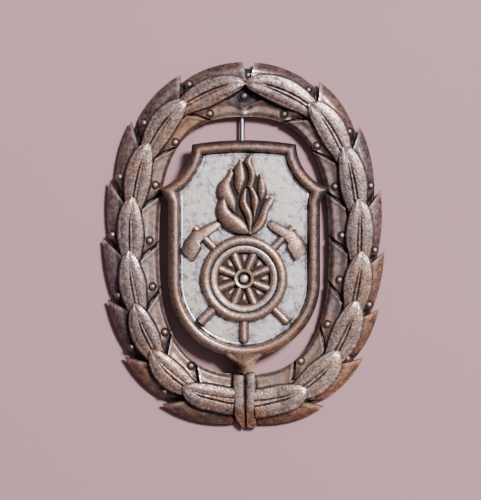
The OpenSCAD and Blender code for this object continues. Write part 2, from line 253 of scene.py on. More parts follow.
# %% [markdown]
# The large leaves
#
# Each large leaf is two rounded lobes with a thin midrib that lies between two cut grooves, and
# each tip lies over the foot of the next leaf up. A leaf could be sculpted, but a formula keeps
# all sixteen alike: a grid runs along the leaf (a) and across it (b), and the height is a sum of a
# long swell, the droop to its edges, the lobes, the rolled edge, the grooves and fine dimples. The
# walls slope out a little at their foot, as they must to leave a die, and they keep the dark line
# of patina that draws each leaf's outline.

# %% One large leaf
# A large leaf's width, the level of its foot, how far its walls slope out, how many degrees of it
# lie under the leaf before it, and how far its tip leans outwards
LEAF_W = {LEFT: 3.95, RIGHT: 4.2}
LEAF_FOOT = 2.3
LEAF_DRAFT = 0.13
LEAF_OVERLAP = 7.5
TIP_SHIFT = 0.3
# Level of a leaf's middle at its foot, its rise to the tip, and how deep grooves and dimples are
LEAF_Z, LEAF_RISE = 3.12, 0.74
GROOVE_DEPTH, DIMPLE = 0.15, 0.017
# How deep the groove on the midrib's inner side is cut, as a share of the outer one
VEIN_SHARE = {LEFT: 0.4, RIGHT: 0.8}
# How far a degree round the oval is along the row of leaves, on average
MM_PER_DEGREE = 0.42


def hammered(along_way, across_way):
    """Dimples of a small punch, in millimetres both ways: the product of two sines that bend each
    other, so that no row of them stays straight."""
    first = 2 * np.pi * along_way / 0.72 + 1.3 * np.sin(2 * np.pi * across_way / 1.5)
    return np.sin(first) * np.sin(2 * np.pi * across_way / 0.6 + 1.1 * np.sin(first / 2.7))


def large_leaf(side, start, end, middle, tip_inset, blunt=0.0, lift=0.0):
    """A leaf from one angle to another. Its half width follows a quarter of an ellipse back from
    the tip to the widest place and then narrows slowly, unless it is blunt. Its height is the
    swell along a, less powers of b for the droop, plus a bell on each lobe and a narrow one on the
    rolled edge, less a narrow bell for each groove. The grooves run together towards the tip, with
    the midrib between them. lift raises the tip."""
    a = np.linspace(0, 1, 52)[:, None]
    u = np.linspace(-1, 1, 59)[None, :]
    b = bent(u, 1.3)
    across = np.abs(b)
    arch = (1 - np.clip(1 - (1 - a) / 0.5, 0, 1) ** 2) ** 0.58
    plump = arch * (1 - (1 - blunt) * 0.42 * smooth(0.5 - a, 0, 0.5))
    half = LEAF_W[side] / 2 * np.clip(plump, 0.04, 1)
    swell = np.maximum(smooth(a, -0.05, 0.85), 0.6 * blunt)
    ridge = LEAF_Z + LEAF_RISE * swell - 0.16 * smooth(a, 0.9, 1) + lift * smooth(a, 0.5, 1)
    vein = smooth(1 - a, 0.16, 0.4)
    groove = vein * bump(across - 0.04 - 0.15 * (1 - a), 0.05) * np.where(b > 0, VEIN_SHARE[side], 1)
    lobe = bump(across - 0.5, 0.33)
    edge_bead = bump(across - 0.87, 0.07) * smooth(a, 0.05, 0.3)
    t = start + (end - start) * a
    droop = 0.17 * across ** 1.5 + 0.27 * across ** 8
    z = ridge - droop + 0.08 * lobe + 0.07 * edge_bead - GROOVE_DEPTH * groove
    z = z + DIMPLE * hammered(t * MM_PER_DEGREE, b * half)
    line = middle + (tip_inset - middle) * smooth(a, 0.3, 1)
    rub_and_painted_light = 0.15 + 0.15 * lobe * smooth(a, 0, 0.35) - 1.1 * groove + 0.5 * vein * bump(b, 0.05)
    rub_and_painted_light = rub_and_painted_light + 0.25 * smooth(a, 0.7, 0.95) + 0.6 * edge_bead - 1.2 * smooth(across, 0.92, 1)
    inset = np.hstack([line - half - LEAF_DRAFT, line + b * half, line + half + LEAF_DRAFT])
    z = np.hstack([np.full_like(a, LEAF_FOOT), z, np.full_like(a, LEAF_FOOT)])
    dark = np.full_like(a, -1.0)
    x, y = oval(t, inset)
    return shell(stack(side * x, y, z), np.hstack([dark, rub_and_painted_light, dark]))


# %% Both branches of large leaves
# Insets of the row's middle line and of the last leaf's tip
MIDDLE = {LEFT: 4.15, RIGHT: 3.8}
LAST_TIP = {LEFT: 3.45, RIGHT: 3.4}
leaves = []
for side in (LEFT, RIGHT):
    tips = LARGE_TIPS[side]
    leaves.append(large_leaf(side, 5.2, tips[0], MIDDLE[side] + 0.1, MIDDLE[side] - TIP_SHIFT,
                             blunt=1.0))
    for before, tip in zip(tips, tips[1:]):
        last = tip == tips[-1]
        tip_inset = LAST_TIP[side] if last else MIDDLE[side] - TIP_SHIFT
        leaves.append(large_leaf(side, before - LEAF_OVERLAP, tip, MIDDLE[side], tip_inset,
                                 lift=0.08 if last and side == RIGHT else 0))
print(len(leaves), "large leaves")

# %% [markdown]
# The two borders
#
# Outside and inside the large leaves lies a row of leaves of which only one half shows. Each is a
# strip whose upper end is cut on a slant: its tip stands a little proud of the next strip, with a
# dark slit behind it and a bright lip on it. Both rows are one function, because they differ only
# in where the strip lies and how it bends down: the outer row falls to the rim, the inner one
# rounds over into the opening.

# %% One border leaf
# Degrees of a strip that lie under the one before it, how wide and how deep its slit is, how deep
# the pocket at its root is, and how high the lip on its tip
SLIT_LAP, SLIT_W = 1.6, 0.85
SLIT_DEPTH, POCKET_DEPTH, LIP_H = 0.42, 0.2, 0.1
ALONG_STEPS, ACROSS_STEPS = 44, 22
# Where the outer row's crest runs, as a share of the way from the free edge to the root
CREST = 0.42
# The oval's middle radius, which turns angles into millimetres
MEAN_R = 21


def border_row(first, tips, slants):
    """The (starts, ends) of a row's leaves. Each starts where the one before it ends, less the lap
    under it, and the first at (an angle, how far it leans back)."""
    rows = []
    before, lean = first
    for tip, slant in zip(tips, slants):
        rows.append(((before - SLIT_LAP, before - lean - SLIT_LAP), (tip, tip - slant)))
        before, lean = tip, slant
    return rows


def border_leaf(side, starts, ends, edge, root, height, bulge, crest=0.0, fade=0.0):
    """A strip between the insets edge and root. b is 0 on its free edge and 1 at its root. starts
    and ends are (angle at the free edge, angle at the root), height(a, b) is its level and bulge
    how far its free edge is set back at the start, fading as a power of 1 - a. Just past the leaf
    before it the strip dips into a slit, and next to its root the dip goes on as a pocket. crest
    rubs a line along its crest brighter than its root. fade paints shade on its free edge, where the
    strip rounds over into the shaded opening, and a negative fade paints a highlight there."""
    a = np.linspace(0, 1, ALONG_STEPS)[:, None] ** 1.15
    b = np.linspace(0, 1, ACROSS_STEPS)[None, :]
    start = starts[0] + (starts[1] - starts[0]) * b
    end = ends[0] + (ends[1] - ends[0]) * b
    t = start + (end - start) * a
    rim = edge + bulge * (1 - a) ** 1.7
    inset = rim + (root - rim) * b
    degrees = (t - start) - SLIT_LAP
    run = degrees * np.pi / 180 * MEAN_R
    slit = 1 - smooth(run, 0.35, SLIT_W)
    pocket = (1 - smooth(run, 0.5, 2.2)) * smooth(b, 0.3, 0.7)
    lip = smooth(a, 0.9, 0.985)
    z = height(a, b) - SLIT_DEPTH * slit - POCKET_DEPTH * pocket + LIP_H * lip
    # The lip's rub is partly wear on the raised tip and partly a painted highlight on its lit edge
    rub_and_painted_light = 0.1 + 1.2 * lip - 1.9 * slit - 0.9 * pocket
    shine = 0.9 * smooth(a, 0.3, 0.8) * bump(b - CREST, 0.13) - 0.6 * smooth(b, 0.55, 0.85) - 0.3
    # The fade term is painted shade on the free edge, and a painted highlight where fade is negative
    rub_and_painted_light = rub_and_painted_light + crest * shine - fade * (1 - smooth(b, 0, 0.45))
    under = inset[:, [-1, 0]] + 0.12 * np.sign(root - edge) * np.array([0, 1])
    low = np.hstack([z[:, -1:] - 0.5, z[:, :1] - 0.42])
    x, y = oval(np.hstack([t, t[:, [-1, 0]]]), np.hstack([inset, under]))
    rings = stack(side * x, y, np.hstack([z, low]))
    return shell(rings, np.hstack([rub_and_painted_light, np.full_like(under, -0.6)]))


print("slits", SLIT_W, "mm wide and", SLIT_DEPTH, "mm deep")

# %% The outer row
# How many degrees each slit leans back between the tip and the large leaves
OUTER_SLANT = [9, 7.6, 6, 6, 6, 6, 5, -1.5]
# Insets of the row's free edge and of its root, and the level of the rim
OUTER_EDGE, OUTER_ROOT = 0.03, 2.9
RIM_Z = 1.15


def outer_height(a, b):
    """Climbs from the rim to the root along a curve that is steepest at the rim and once more at
    the root, and towards the tip a crest grows on it, almost halfway across."""
    crest = a ** 1.5 * (0.1 + 0.5 * bump(b - CREST, 0.26))
    return RIM_Z + 1.3 * (1 - (1 - b) ** 1.6) + 0.3 * smooth(b, 0.6, 1) + crest


outer = []
for side in (LEFT, RIGHT):
    for starts, ends in border_row((3.0, 0.0), OUTER_TIPS[side], OUTER_SLANT):
        edge = OUTER_EDGE + (0.1 if ends[0] == OUTER_TIPS[side][-1] else 0)
        outer.append(border_leaf(side, starts, ends, edge, OUTER_ROOT, outer_height, 1.0, crest=1.0))
print(len(outer), "outer leaves")

# %% The inner row
INNER_SLANT = [7, 6.5, 5.5, 6, 8, 9.5, 9.5, 0]
# Insets of the row's root and of its free edge, and its level
INNER_ROOT = 5.5
EDGE_INSET = 8.17
BORDER_Z = 2.4


def inner_height(a, b):
    """Almost level, it rises by the square of a to the tip, climbs a little at the root and rounds
    over at the free edge."""
    return BORDER_Z + 0.2 * a ** 2 + 0.25 * smooth(b, 0.6, 1) - 0.45 * (1 - smooth(b, 0, 0.34)) ** 1.5


# The last leaf of each branch narrows to the middle of the top and gets a painted highlight at
# its free edge; the others get painted shade there
narrowing = 1.55 * smooth(np.linspace(0, 1, ALONG_STEPS)[:, None], 0.7, 1.05)
inner = []
for side in (LEFT, RIGHT):
    for starts, ends in border_row((3.5, 0.5), INNER_TIPS[side], INNER_SLANT):
        last = ends[0] == TOP_T
        root = INNER_ROOT + (narrowing if last else 0)
        inner.append(border_leaf(side, starts, ends, EDGE_INSET, root, inner_height, 0,
                                 fade=-1.2 if last else 0.5))
print(len(inner), "inner leaves")

# %% [markdown]
# The band
#
# Under the leaves runs the band that carries them all, hollow at its back and standing on a narrow
# foot. It is a closed section carried once round the oval, and it stays dark where it shows
# between the leaves.

# %% The band under the leaves
# Section of the band, as (inset, level)
BAND = [
    (1.12, 0), (1.05, 0.08), (1.05, 0.9), (1.15, 1.05), (2.2, 1.7), (2.9, 1.95), (5.3, 2.0), (7.0, 1.9),
    (7.8, 1.75), (8.16, 1.66), (8.16, 1.56), (8.0, 1.5), (3.0, 1.5), (2.7, 1.4), (1.72, 0.08), (1.64, 0)
]
section = np.array(BAND)
turns = np.linspace(0, 360, 300, endpoint=False)[:, None]
x, y = oval(turns, section[None, :, 0])
band = shell(stack(x, y, section[None, :, 1]), -0.75, closed=True)
print("band of", len(band[2]), "faces")

# %% [markdown]
# Berries
#
# A berry sits in each crotch above a slit, in both borders, with two more at the very top. Each is
# a dome of rings that shrink by the cosine and rise by the sine of the same angle.

# %% Berries
BERRY_R, OUTER_BERRY_R = 0.5, 0.46
# Where each berry lies, as (angle, inset)
INNER_BERRIES = {
    LEFT: [(33, 7.1), (53.3, 6.9), (73, 6.85), (92, 6.8), (115, 6.8), (135.5, 7.15), (159, 6.95)],
    RIGHT: [(36, 7.35), (57, 6.8), (76, 6.4), (94, 6.3), (114, 6.5), (133, 6.9), (156, 6.65)]
}
OUTER_BERRIES = {
    LEFT: [(36, 1.75), (56, 1.6), (73.5, 1.8), (93.5, 1.35), (112.5, 1.4), (132.5, 1.7), (155.5, 1.8)],
    RIGHT: [(31.5, 2.2), (51, 2.0), (70.5, 1.6), (88.5, 1.5), (109.5, 1.35), (129, 1.7), (151, 1.9)]
}


def berry(side, t, inset, z, radius=BERRY_R):
    """A dome whose rings have the radius times the cosine, and the height times the sine, of an
    angle that goes from just below the level up to the top."""
    lift = np.radians(np.linspace(-8, 84, 8))[:, None]
    turn = full_turn(16)[None, :]
    x, y = oval(t, inset)
    around = np.vstack([[[1.3 * radius], [1.34 * radius], [1.05 * radius]], radius * np.cos(lift)])
    up = np.vstack([[[-0.3], [-0.03], [-0.04]], 0.85 * radius * np.sin(lift)])
    rings = stack(side * x + around * np.cos(turn), y + around * np.sin(turn), z + up)
    return shell(rings, np.vstack([[[-1.2]] * 3, -0.9 + 1.4 * smooth(np.sin(lift), 0.15, 0.8)]))


berries = [berry(side, t, inset, BORDER_Z + 0.12)
           for side in (LEFT, RIGHT) for t, inset in INNER_BERRIES[side]]
berries += [berry(side, t, inset, float(outer_height(0.1, inset / OUTER_ROOT)) + 0.02, OUTER_BERRY_R)
            for side in (LEFT, RIGHT) for t, inset in OUTER_BERRIES[side]]
berries.append(berry(LEFT, TOP_T, 5.2, BORDER_Z - 0.1, 0.6))
berries.append(berry(RIGHT, 178.2, 2.1, 1.95, 0.44))
print(len(berries), "berries")

# %% [markdown]
# The stems
#
# The two branches end at the bottom in two cut stems side by side. Each is a bar along a short path
# that bends down over the rim, so it is a tube: a flattened circle carried along the path. A low,
# narrow bar fills the gap between them.

# %% Stems
def along(rows, count):
    """Points at even steps along a smooth curve through the rows. Each stretch is a cubic, and its
    slope at a row is half the way from the row before to the row after."""
    rows = np.array(rows, float)
    padded = np.vstack([2 * rows[0] - rows[1], rows, 2 * rows[-1] - rows[-2]])
    where = np.linspace(0, len(rows) - 1, count)
    k = np.minimum(where.astype(int), len(rows) - 2)
    s = (where - k)[:, None]
    p0, p1, p2, p3 = (padded[k + j] for j in range(4))
    return 0.5 * (2 * p1 + (p2 - p0) * s + (2 * p0 - 5 * p1 + 4 * p2 - p3) * s ** 2
                  + (3 * p1 - p0 - 3 * p2 + p3) * s ** 3)


def stem(rows, cut=0.0):
    """A bar along rows of (x, y, z, half width), whose section is a flattened circle, with ends
    that are a little rounded. cut shears its lower end into a slant."""
    x, y, z, half = (c[:, None] for c in along(rows, 34).T)
    share = np.linspace(0, 1, 34)[:, None]
    end = np.clip(share * (1 - share) * 70, 0.3, 1) ** 0.5
    turn = full_turn(28)[None, :]
    side_way, up_way = bent(np.cos(turn), 0.5), bent(np.sin(turn), 0.8)
    shear = cut * smooth(share, 0.55, 1) * half * side_way
    rings = stack(x + half * end * side_way, y - shear, z + 0.64 * np.minimum(end, half / 0.6) * up_way)
    return shell(rings, -1 + 1.45 * smooth(np.sin(turn), 0.1, 0.8))


stems = [
    stem([(-0.76, -18.65, 2.95, 0.84), (-0.78, -21, 2.95, 0.87), (-0.72, -23.9, 2.8, 0.84),
          (-0.6, -25.3, 1.95, 0.74), (-0.55, -26.2, 1.1, 0.62)], cut=0.95),
    stem([(1.0, -18.4, 2.95, 0.72), (1.0, -21, 2.95, 0.74), (1.0, -23.9, 2.8, 0.74),
          (1.04, -25.4, 1.9, 0.76), (1.08, -26.75, 0.8, 0.76)]),
    stem([(0.17, -18.8, 2.6, 0.25), (0.17, -21, 2.6, 0.25), (0.18, -23.9, 2.45, 0.25),
          (0.2, -25.6, 1.3, 0.25)])
]
print(len(stems) - 1, "stems and the bar between them")

# %% The wreath, joined
# Hue of each outer leaf, the left branch's from the stems up and then the right one's: a painted
# reflection, copper at the lower right and bluish on the left
OUTER_REFLECTION_HUES = [0.2, 0, -0.3, -0.4, -0.3, -0.1, 0, 0, 1.3, 1.2, 0.8, 0.3, 0, -0.1, -0.1, -0.1]
outer = [finished([leaf], 0.7, hue)[0] for leaf, hue in zip(outer, OUTER_REFLECTION_HUES)]
wreath = piece("laurel_wreath", [band] + leaves + outer + finished(inner, 0.4, 0.1)
               + finished(berries, 0.4, 0.2) + stems, "wreath")

# %% [markdown]
# The shield's outline
#
# The moulding round the shield keeps the same section all the way, so it is a stack of outlines,
# each a distance out from the pale field. Half of an outline runs from the foot up the side, out
# along the flare, in along the round notch and over the top arc. It is only arcs and lines, and
# mirroring it gives the whole.

# %% Corners and radii of the outline
MOULDING_W = 1.75
OPENING = (HALF_W - WREATH_W, HALF_H - WREATH_W)
SIDE_GAP, TOP_GAP, FOOT_GAP = 1.32, 3.45, 2.45
FIELD_R = OPENING[0] - SIDE_GAP - MOULDING_W
FIELD_TOP = OPENING[1] - TOP_GAP - MOULDING_W
FOOT_Y = FIELD_R + MOULDING_W + FOOT_GAP - OPENING[1]
# How far the moulding widens to a side corner, as shares of its width, and how far down the field
# the sides start to do so
FLARE = np.array([1.6, 0.45])
WAIST = FIELD_TOP - 7.3
NOTCH_R, TOP_ARC_R = 7, 44
SIDE_CORNER = np.array([level("shield_frame", 1, 0), FIELD_TOP - 5.3])
TOP_CORNER = np.array([7.6, FIELD_TOP + MOULDING_W - 0.64])
run = TOP_CORNER - SIDE_CORNER
reach = math.hypot(*run)
outwards = math.sqrt(NOTCH_R ** 2 - reach ** 2 / 4) / reach * np.array([run[1], -run[0]])
NOTCH = (SIDE_CORNER + TOP_CORNER) / 2 + outwards
print("field", round(2 * FIELD_R, 2), "mm wide, notch centre", np.round(NOTCH, 2))


# %% Arcs, lines and the whole outline
def arc(centre, radius, start, end, count):
    """Points on an arc of a circle, between two angles in radians."""
    turn = np.linspace(start, end, count)
    return np.stack([centre[0] + radius * np.cos(turn), centre[1] + radius * np.sin(turn)], -1)


def line(start, end, count):
    """Evenly spaced points from start to just before end."""
    start, end = np.array(start), np.array(end)
    return start + np.linspace(0, 1, count, endpoint=False)[:, None] * (end - start)


def meeting(centre_a, radius_a, centre_b, radius_b):
    """The left of the two points where two circles meet: along the line from the upper circle's
    centre to the lower one's by the law of cosines, then square to it."""
    gap = np.array(centre_b) - np.array(centre_a)
    apart = math.hypot(*gap)
    step = (radius_a ** 2 - radius_b ** 2 + apart ** 2) / (2 * apart)
    side_step = math.sqrt(radius_a ** 2 - step ** 2)
    foot = np.array(centre_a) + step * gap / apart
    return foot + side_step * np.array([gap[1], -gap[0]]) / apart


def half_outline(out, foot_start=0.0):
    """The right half of the shield's outline, from its foot at an angle foot_start past the bottom
    up to the middle of its top, a distance out from the field."""
    radius = FIELD_R + out
    corner = SIDE_CORNER - MOULDING_W * FLARE + out * FLARE
    notch_r = NOTCH_R + MOULDING_W - out
    low = math.pi + math.acos((NOTCH[0] - corner[0]) / notch_r)
    top_centre = np.array([0, FIELD_TOP - TOP_ARC_R])
    tip = meeting(NOTCH, notch_r, top_centre, TOP_ARC_R + out)
    high = math.atan2(tip[1] - NOTCH[1], tip[0] - NOTCH[0])
    high += 2 * math.pi if high < 0 else 0
    lean = math.atan2(tip[0] - top_centre[0], tip[1] - top_centre[1])
    return np.vstack([
        arc((0, FOOT_Y), radius, foot_start - math.pi / 2, 0, 36)[:-1],
        line((radius, FOOT_Y), (radius, WAIST), 14),
        line((radius, WAIST), corner, 6),
        arc(NOTCH, notch_r, low, high, 24),
        arc(top_centre, TOP_ARC_R + out, math.pi / 2 - lean, math.pi / 2, 20)[1:]
    ])


def mirrored(half):
    """The whole outline, anticlockwise from the middle of the foot: the right half, then the left
    half backwards, without the two points on the middle line a second time."""
    return np.vstack([half, half[-2:0:-1] * [-1, 1]])


print("outline of", len(mirrored(half_outline(0))), "points")

# %% [markdown]
# The moulding
#
# Its ridge runs close to the field: the inner side drops steeply from it, and the outer side slopes
# away, darker at the top and on the right. Under the round foot the slope grows into a toe with a
# flat face, a bright edge and two facets with a keel between them that reach down to the stems. The
# toe's points take the place of the first stretch of the outer outlines, and the inner outlines
# stay round there.

# %% The moulding and its toe
SHIELD_Z = level("shield_frame", 0, 2)
RIDGE_Z = level("shield_frame", 1, 2)
FIELD_Z = level("field_plate", 1, 2)
TOE_TURN = 0.3
TOE_COUNT = 24
# From which share of the toe's points on it fades into the round foot
TOE_FADE = 0.58
# How far from the middle line the keel runs out
KEEL_W = 1.35
# Outlines that take part in the toe: distance out from the field, level, how far they are drawn to
# the toe (0 for its face's edge, 1 for its foot), level there, how much higher the keel is, rub, and
# rub on the toe
MOULDING = [
    (1.75, SHIELD_Z, 1, SHIELD_Z, 0, -1, -1), (1.75, 3.1, 1, 3.2, 0.75, -0.9, -0.8),
    (1.74, 3.6, 0.97, 3.55, 0.7, -0.6, 0.1), (1.71, 4.0, 0.5, 4.05, 0.33, -0.4, 0),
    (1.64, 4.28, 0.03, 4.5, 0, -0.4, 0.4), (1.6, 4.36, -0.03, 4.53, 0, -0.2, 1.2),
    (1.48, 4.47, -0.22, 4.52, 0, -0.5, -0.1), (1.3, 4.59, -0.5, 4.55, 0, -0.45, 0)
]
# Outlines that stay round: distance out, level and rub
MOULDING += [(out, z, None, 0, 0, rub_and_painted_light, 0) for out, z, rub_and_painted_light in [
    (1.08, 4.68, -0.3), (0.88, 4.72, -0.05), (0.7, RIDGE_Z - 0.02, 0.1), (0.52, 4.71, 0.15),
    (0.36, 4.66, 0.05), (0.23, 4.56, -0.2), (0.14, 4.38, -0.5), (0.08, 4.1, -0.8),
    (0.05, 3.75, -1), (0.03, FIELD_Z + 0.05, -1), (0.7, FIELD_Z + 0.05, -1), (0.7, SHIELD_Z, -0.8)
]]
# Right halves of the toe's foot and of its face's edge
TOE_FOOT = [(0, -18.62), (0.8, -18.5), (1.3, -18.15), (1.6, -17.1), (2.65, -16.05)]
TOE_FACE = [(0, -17.45), (0.75, -17.0), (1.5, -16.55), (2.3, -16.05), (3.0, -15.6)]


def moulding_outline(out, toe):
    """An outline whose first points run along the toe: a curve between its face's edge and its
    foot, or the round foot itself, and from there the usual half outline."""
    radius = FIELD_R + out
    if toe is None:
        start = arc((0, FOOT_Y), radius, -math.pi / 2, TOE_TURN - math.pi / 2, TOE_COUNT)
    else:
        start = along(np.array(TOE_FACE) + toe * (np.array(TOE_FOOT) - np.array(TOE_FACE)), TOE_COUNT)
        start[-1] = arc((0, FOOT_Y), radius, TOE_TURN - math.pi / 2, 0, 2)[0]
    return mirrored(np.vstack([start[:-1], half_outline(out, TOE_TURN)]))


outlines = np.array([moulding_outline(row[0], row[2]) for row in MOULDING])
step = np.arange(outlines.shape[1])
toe_way = 1 - smooth(np.minimum(step, len(step) - step), TOE_FADE * TOE_COUNT, TOE_COUNT)
toe_way = toe_way * np.array([[row[2] is not None] for row in MOULDING])
out, z, _, toe_z, keel, rub_and_painted_light, toe_rub = (np.array(column)[:, None] for column in zip(*MOULDING))
across, up = outlines[..., 0], outlines[..., 1]
toe_z = toe_z + keel * np.clip(1 - np.abs(across) / KEEL_W, 0, 1)
dull = smooth(out, 0.6, 1.1) * (0.8 * smooth(up, 10, 15) + 0.5 * smooth(across, 5, 9))
rub_and_painted_light = rub_and_painted_light - dull + 0.6 * smooth(-up, 9, 14)
rub_and_painted_light = rub_and_painted_light + (toe_rub - rub_and_painted_light) * toe_way
rings = np.concatenate([outlines, (z + (toe_z - z) * toe_way)[..., None]], axis=-1)
moulding = piece("shield_moulding", [shell(rings, rub_and_painted_light, closed=True)], "shield_frame", crease=30)

# %% [markdown]
# The field
#
# The pale plate is silvered and finely blasted, with a low raised edge along the moulding. It is
# drawn as rings too: outlines that step in from the moulding, then the last one shrunk to the
# middle. Under the wheel the plate was never rubbed and stays dark.

# %% The pale plate
PLATE_BACK = level("field_plate", 0, 2)
WHEEL = np.array([0, WHEEL_Y])
steps_in = [0.65, 0.3, 0.05, 0, -0.07, -0.15, -0.23, -0.31, -0.39, -0.46, -0.54, -0.65, -0.85, -1.15]
outlines = [mirrored(half_outline(out)) for out in steps_in]
shrink = np.linspace(1, 0.01, 44)[1:, None, None]
centre = np.array([0, -1.0])
flat = np.concatenate([np.array(outlines), centre + shrink * (outlines[-1] - centre)])
depth = np.array(steps_in + [-2] * len(shrink))[:, None]
x, y = flat[..., 0], flat[..., 1]
grain = np.sin(9.1 * x + 2 * np.sin(5.3 * y)) * np.sin(8.3 * y + 2 * np.sin(6.1 * x + 1))
z = FIELD_Z - 0.02 + 0.012 * grain * smooth(-depth, 0.5, 0.8) + 0.04 * bump(depth + 0.23, 0.11)
hub_way = np.hypot(x - WHEEL[0], y - WHEEL[1])
rub_and_painted_light = 0.2 - 1.6 * bump(depth, 0.12) + 0.6 * bump(depth + 0.23, 0.1) - 0.9 * bump(depth + 0.46, 0.08)
rub_and_painted_light = rub_and_painted_light - 1.1 * (1 - smooth(hub_way, 3.7, 4.2))
back = stack(x[0], y[0], PLATE_BACK)[None]
rings = np.concatenate([back, stack(x, y, z)])
rub_and_painted_light = np.vstack([np.full((1, len(x[0])), -0.5), rub_and_painted_light])
plate = piece("field_plate_silvered", [shell(rings, rub_and_painted_light)], "field_plate")

# %% [markdown]
# The wheel
#
# The rim is turned: a closed section goes once round the wheel's centre. Its outer part is a round
# ring, then a fine dark groove, then a flatter, bluish ring with a bevelled edge. The hub is turned
# as well, with a small dome in its hole, and the spokes and handles are crowned bars.

# %% Turned rings
# Sections as (radius, height over the field, rub)
RIM = [
    (6.36, 0, -1), (6.36, 0.14, -1), (6.33, 0.6, -0.3), (6.2, 0.9, 0), (5.98, 1.1, 0.25),
    (5.68, 1.22, 0.6), (5.4, 1.2, 0.5), (5.16, 1.1, 0.2), (4.98, 0.98, -0.2), (4.91, 0.84, -0.8),
    (4.85, 0.84, -0.8), (4.8, 0.94, 0.5), (4.7, 1.0, 1.2), (4.5, 0.98, 0.9), (4.26, 0.97, 0.8),
    (4.16, 0.93, -0.5), (4.1, 0.92, -0.3), (3.98, 0.88, 0.4), (3.86, 0.74, 0.1), (3.76, 0.5, -0.7),
    (3.74, 0, -1)
]
HUB = [
    (1.5, 0, -1), (1.5, 0.6, -0.6), (1.46, 0.86, 0.1), (1.34, 0.98, 0.5), (1.14, 0.97, 0.6),
    (0.98, 0.88, 0.2), (0.92, 0.7, -0.8), (0.89, 0.3, -1), (0.74, 0.28, -1), (0.7, 0.5, -0.3),
    (0.6, 0.72, 0.7), (0.42, 0.85, 1.1), (0.2, 0.9, 1.2), (0.03, 0.91, 1.2)
]
# The middle of the flatter ring, where the metal is bluest
BLUE_R = 4.55


def on_wheel(radius, turn, z):
    """Points round the wheel's centre."""
    return stack(WHEEL[0] + radius * np.cos(turn), WHEEL[1] + radius * np.sin(turn), z)


def turned(profile, closed, steps=128):
    """A section carried round the wheel's centre. A closed one makes a ring, with one section for
    each ring of the shell, and an open one a stack of circles."""
    radius, height, rub_and_painted_light = np.array(profile).T
    turn = full_turn(steps)
    if closed:
        turn, radius, height, rub_and_painted_light = turn[:, None], radius[None], height[None], rub_and_painted_light[None]
    else:
        turn, radius, height, rub_and_painted_light = turn[None], radius[:, None], height[:, None], rub_and_painted_light[:, None]
    rings = on_wheel(radius, turn, FIELD_Z + height)
    hue = np.broadcast_to(-1.1 * bump(radius - BLUE_R, 0.25), rings.shape[:2]).reshape(-1)
    return (*shell(rings, rub_and_painted_light, closed)[:5], hue)


wheel = [turned(RIM, True), turned(HUB, False, 48)]
print("rim", 2 * RIM[0][0], "mm across, hub", 2 * HUB[0][0])


# %% Crowned bars
def crowned(rows, count=28, points=13, power=2.2):
    """A bar along rows of (x, y, half width, height over the field). Its section is a crown: the
    height falls from the middle as a power of the way to the side. Its foot is a little wider, and
    dark."""
    x, y, half, high = (c[:, None] for c in along(rows, count).T)
    way = np.gradient(np.hstack([x, y]), axis=0)
    way = way / np.maximum(np.hypot(way[:, :1], way[:, 1:]), 1e-9)
    s = np.linspace(-1, 1, points)[None, :]
    half = np.maximum(half, 0.03)
    top = high * (1 - 0.5 * np.abs(s) ** power)
    side_way = np.hstack([-half - 0.07, half * s, half + 0.07])
    flat = np.zeros_like(half)
    rub_and_painted_light = -0.2 + 0.9 * bump(s, 0.55) + flat
    rings = stack(x - side_way * way[:, 1:], y + side_way * way[:, :1],
                  FIELD_Z + np.hstack([flat, top, flat]))
    return shell(rings, np.hstack([flat - 1, rub_and_painted_light, flat - 1]))


def spoke_rows(turn, near, far, widths, heights, round_end=0.0):
    """Rows of a straight bar from one radius to another, with a rounded far end if it has one."""
    way = np.array([math.cos(math.radians(turn)), math.sin(math.radians(turn))])
    shares = [0, 0.25, 0.5, 0.75, 1]
    rows = [(*(WHEEL + way * (near + (far - round_end - near) * s)),
             widths[0] + (widths[1] - widths[0]) * s, heights[0] + (heights[1] - heights[0]) * s)
            for s in shares]
    if round_end:
        rows += [(*(WHEEL + way * (far - round_end * (1 - s))), widths[1] * math.sqrt(1 - s * s),
                  heights[1] * (1 - 0.35 * s * s)) for s in (0.4, 0.7, 0.9, 0.99)]
    return rows


print("a spoke's rows", len(spoke_rows(0, 1, 2, (1, 1), (1, 1))))

# %% The wheel's floor, spokes and handles
# Between the spokes the floor rises in low mounds, and their bright rub is a painted glint
SPOKES = 8
FLOOR_R, MOUND_R, MOUND_H = 3.9, 2.85, 0.16
radius, turn = np.linspace(0.8, FLOOR_R, 26)[:, None], full_turn(128)[None, :]
glint = bump(radius - MOUND_R, 0.5) * np.clip(np.cos(SPOKES * turn), 0, 1) ** 4
rings = on_wheel(radius, turn, FIELD_Z + 0.05 + MOUND_H * glint)
under = rings[[0, -1]] * [1, 1, 0] + [0, 0, FIELD_Z]
floor_rings = np.concatenate([under[:1], rings, under[1:]])
floor_rub = np.pad(-1 + 2.2 * glint ** 2 + 0 * turn, ((1, 1), (0, 0)), constant_values=-1)
wheel.append(shell(floor_rings, floor_rub))
wheel += [crowned(spoke_rows((k + 0.5) * 360 / SPOKES, 1.3, 3.85, (0.48, 0.66), (0.78, 0.76)), 10)
          for k in range(SPOKES)]
# Handle ends, as (turn, reach, half width, length of the rounded end)
HANDLES = [(270, 9.37, 0.66, 0.5), (224.8, 9.1, 0.72, 0.12), (314.8, 9.1, 0.64, 0.45)]
wheel += [crowned(spoke_rows(turn, 5.8, far, (half, half), (0.8, 0.8), end), count=24)
          for turn, far, half, end in HANDLES]
print(len(wheel), "shells in the wheel")

# %% [markdown]
# Hammers and flame
#
# A hammer head and a flame's tongue are alike: a body between two edges that start at one end and
# meet at the other. So one helper lofts a cross section between a left and a right edge. A head's
# section is flat with bevelled sides, a tongue's is a crown whose crest lies nearer its right.

